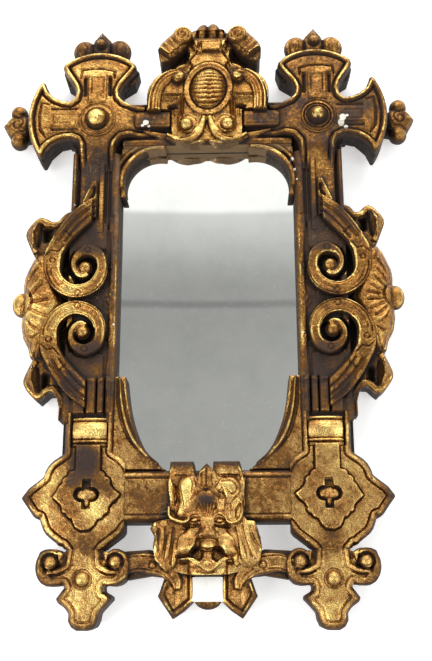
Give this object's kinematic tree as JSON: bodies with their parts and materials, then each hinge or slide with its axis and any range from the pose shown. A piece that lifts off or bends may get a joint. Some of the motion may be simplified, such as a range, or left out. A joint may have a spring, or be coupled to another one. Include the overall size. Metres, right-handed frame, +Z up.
{
  "type": "gilded wall mirror",
  "caption": "Carved and gilded wall mirror with corner crosses, crest, side scrolls and feet, a glass held by turn buttons, and a hanging ring behind.",
  "frame": {"origin": "the hanging point on the wall: where the nail meets the wall behind the raised ring", "axes": "+Z up, +X to the right seen from the front, the face looks along -Y and the wall is the plane y = 0"},
  "size_m": [0.294, 0.038, 0.4273],
  "materials": {
    "gilding": "worn gold leaf over gesso on carved wood",
    "burnished_gilding": "brighter, burnished gold leaf with brown patina in the hollows",
    "patinated_gilding": "gold leaf worn and darkened to brown-black",
    "silvered_glass": "silvered at the back, with a few dust specks",
    "backboard_pine": "old planed softwood, unfinished",
    "brass": "aged brass",
    "steel": "dull steel, slotted heads",
    "label_paper": "matt white paper, blank"
  },
  "bodies": {
    "frame": {"stile_left": "patinated_gilding", "stile_right": "patinated_gilding", "rail_top": "patinated_gilding", "rail_bottom": "patinated_gilding", "spandrel_top_left": "patinated_gilding", "spandrel_top_right": "patinated_gilding", "spandrel_bottom_left": "burnished_gilding", "spandrel_bottom_right": "burnished_gilding", "cross_left": "gilding", "cross_right": "gilding", "cross_boss_left": "gilding", "cross_boss_right": "gilding", "finial_top_left": "gilding", "finial_top_right": "gilding", "finial_side_left": "gilding", "finial_side_right": "gilding", "crest_plate": "gilding", "crest_cabochon": "gilding", "crest_shell": "gilding", "crest_ear_left": "gilding", "crest_ear_right": "gilding", "crest_scroll_left": "gilding", "crest_scroll_right": "gilding", "crest_volutes": "gilding", "scroll_upper_left": "gilding", "scroll_upper_right": "gilding", "scroll_lower_left": "gilding", "scroll_lower_right": "gilding", "side_shell_left": "gilding", "side_shell_right": "gilding", "side_strap_left": "gilding", "side_strap_right": "gilding", "collar_left": "burnished_gilding", "collar_right": "burnished_gilding", "corner_plate_left": "burnished_gilding", "corner_plate_right": "burnished_gilding", "plaque_left": "burnished_gilding", "plaque_right": "burnished_gilding", "foot_left": "burnished_gilding", "foot_right": "burnished_gilding", "foot_bosses": "burnished_gilding", "mask": "gilding", "mask_crown": "gilding", "lower_strap_left": "gilding", "lower_strap_right": "gilding", "pendant": "gilding", "label": "label_paper", "glass": "silvered_glass", "backboard": "backboard_pine", "button_screws": "steel", "hanger_plate": "brass", "hanger_screws": "steel"},
    "button_upper_left": {"button_upper_left": "brass"},
    "button_upper_right": {"button_upper_right": "brass"},
    "button_lower_left": {"button_lower_left": "brass"},
    "button_lower_right": {"button_lower_right": "brass"},
    "hanger_ring": {"hanger_ring": "brass"}
  },
  "joints": [
    {"name": "turn_upper_left", "type": "hinge", "parent": "frame", "child": "button_upper_left", "pos_m": [-0.0715, -0.0061, -0.078], "axis": [0, 1, 0], "continuous": true},
    {"name": "turn_upper_right", "type": "hinge", "parent": "frame", "child": "button_upper_right", "pos_m": [0.0715, -0.0061, -0.078], "axis": [0, 1, 0], "continuous": true},
    {"name": "turn_lower_left", "type": "hinge", "parent": "frame", "child": "button_lower_left", "pos_m": [-0.0715, -0.0061, -0.213], "axis": [0, 1, 0], "continuous": true},
    {"name": "turn_lower_right", "type": "hinge", "parent": "frame", "child": "button_lower_right", "pos_m": [0.0715, -0.0061, -0.213], "axis": [0, 1, 0], "continuous": true},
    {"name": "ring_swing", "type": "hinge", "parent": "frame", "child": "hanger_ring", "pos_m": [0, -0.00475, -0.013], "axis": [-1, 0, 0], "range_deg": [0, 165]}
  ]
}
